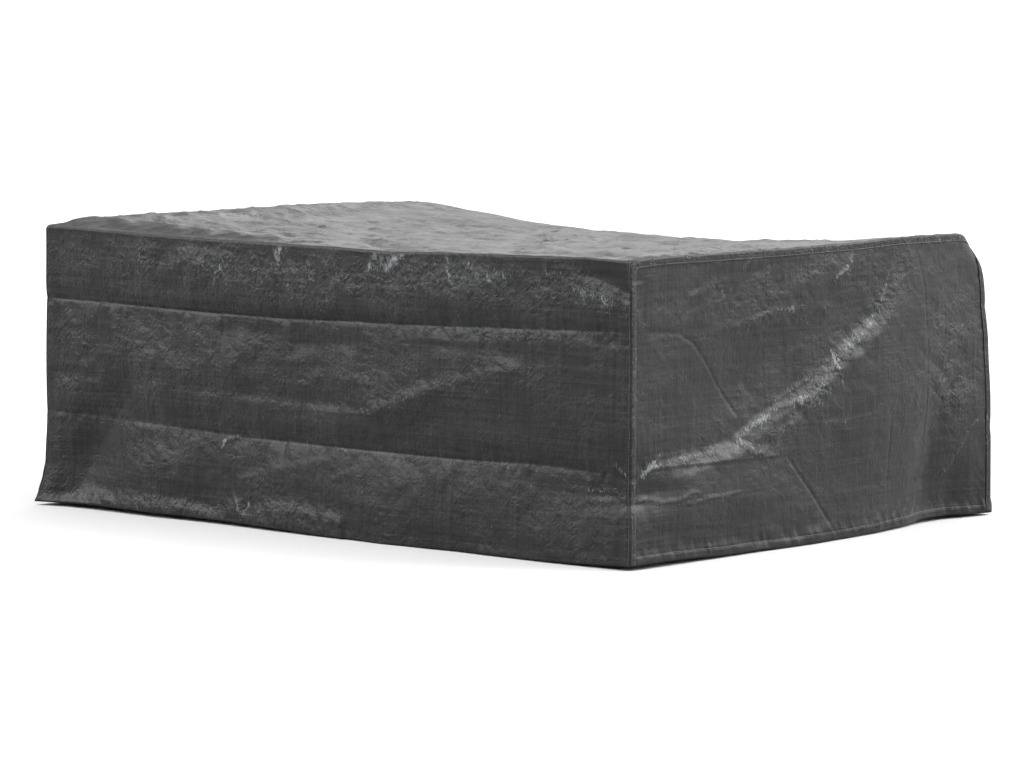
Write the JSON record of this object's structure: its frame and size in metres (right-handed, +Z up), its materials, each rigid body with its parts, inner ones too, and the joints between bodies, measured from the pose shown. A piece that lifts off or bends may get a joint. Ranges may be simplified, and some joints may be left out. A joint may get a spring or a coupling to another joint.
{
  "type": "patio lounge set cover",
  "caption": "Fitted rain cover for low patio lounge furniture: a hollow, sagging drape of dark grey coated woven cloth with lapped corner seams, packing creases and a turned hem.",
  "frame": {"origin": "on the ground under the middle of the cover, the middle taken between the outermost points of its walls", "axes": "+X along the long walls, +Z up, and the front long wall faces -Y"},
  "size_m": [2.2589, 1.6536, 0.8362],
  "materials": {
    "coated_cloth": "dark grey woven polyethylene tape cloth, coated on both sides, with a low sheen and fine crumpling from packing"
  },
  "bodies": {
    "root": {"long_panel": "coated_cloth", "end_panel_right": "coated_cloth", "end_panel_left": "coated_cloth"}
  },
  "joints": []
}
